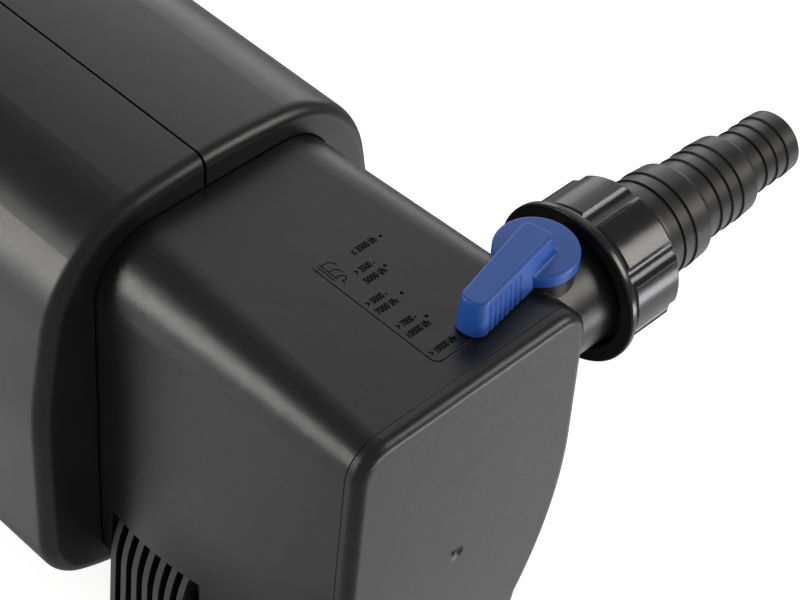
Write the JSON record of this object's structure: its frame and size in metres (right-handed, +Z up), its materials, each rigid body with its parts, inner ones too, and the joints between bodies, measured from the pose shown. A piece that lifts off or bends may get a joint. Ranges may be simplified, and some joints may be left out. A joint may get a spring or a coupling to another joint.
{
  "type": "pond canister filter",
  "caption": "Flow-through pond filter canister with a two-part hood, a lever-operated flow regulator and stepped hose tails on union nuts.",
  "frame": {"origin": "centre of the front foot's underside, on the vessel's centre plane", "axes": "+X along the body from the hood to the end cap, +Y out along the hose tails, +Z up"},
  "size_m": [0.4969, 0.2749, 0.1895],
  "materials": {
    "housing_black": "fine-grained satin moulding",
    "tail_black": "satin moulding",
    "nut_gloss_black": "polished moulding",
    "lever_blue": "satin moulding",
    "valve_plastic": "plain moulding",
    "seal_rubber": "smooth rubber",
    "stainless": "turned",
    "quartz": "clear",
    "lamp_glass": "clear",
    "lamp_ceramic": "matt",
    "ballast_case": "die cast",
    "filter_foam": "open-cell foam"
  },
  "bodies": {
    "housing": {"baffle_plate": "valve_plastic", "ballast": "ballast_case", "ballast_bracket": "stainless", "bypass_tube": "valve_plastic", "cable_gland": "tail_black", "cartridge_cap": "valve_plastic", "cartridge_collar": "valve_plastic", "cartridge_core": "valve_plastic", "cartridge_foam": "filter_foam", "end_cap": "housing_black", "end_cap_seal": "seal_rubber", "front_foot": "housing_black", "front_foot_screws": "stainless", "gland_locknut": "tail_black", "gland_nut": "tail_black", "head_gasket": "seal_rubber", "head_screws": "stainless", "hood_far_half": "housing_black", "hood_near_half": "housing_black", "hood_seam_strip": "housing_black", "inlet_hose_tail": "tail_black", "inlet_washer": "seal_rubber", "lamp_base": "lamp_ceramic", "lamp_head": "housing_black", "lamp_socket": "lamp_ceramic", "outlet_hose_tail": "tail_black", "outlet_washer": "seal_rubber", "quartz_sleeve": "quartz", "rear_foot": "housing_black", "rear_foot_screws": "stainless", "sleeve_nut": "tail_black", "sleeve_o_ring": "seal_rubber", "socket_post": "lamp_ceramic", "uvc_lamp": "lamp_glass", "vessel": "housing_black"},
    "regulator": {"flow_lever": "lever_blue", "valve_stem": "valve_plastic", "stem_o_ring": "seal_rubber", "bypass_flap": "valve_plastic"},
    "inlet_nut": {"inlet_union_nut": "nut_gloss_black"},
    "outlet_nut": {"outlet_union_nut": "nut_gloss_black"}
  },
  "joints": [
    {"name": "flow_lever_turn", "type": "hinge", "parent": "housing", "child": "regulator", "pos_m": [0.0674, 0.0528, 0.17672], "axis": [0, 0, 1], "range_deg": [-63, 0]},
    {"name": "inlet_nut_turn", "type": "hinge", "parent": "housing", "child": "inlet_nut", "pos_m": [0.0674, 0.0852, 0.152], "axis": [0, 1, 0], "continuous": true},
    {"name": "outlet_nut_turn", "type": "hinge", "parent": "housing", "child": "outlet_nut", "pos_m": [-0.225, 0.096, 0.152], "axis": [0, 1, 0], "continuous": true}
  ]
}
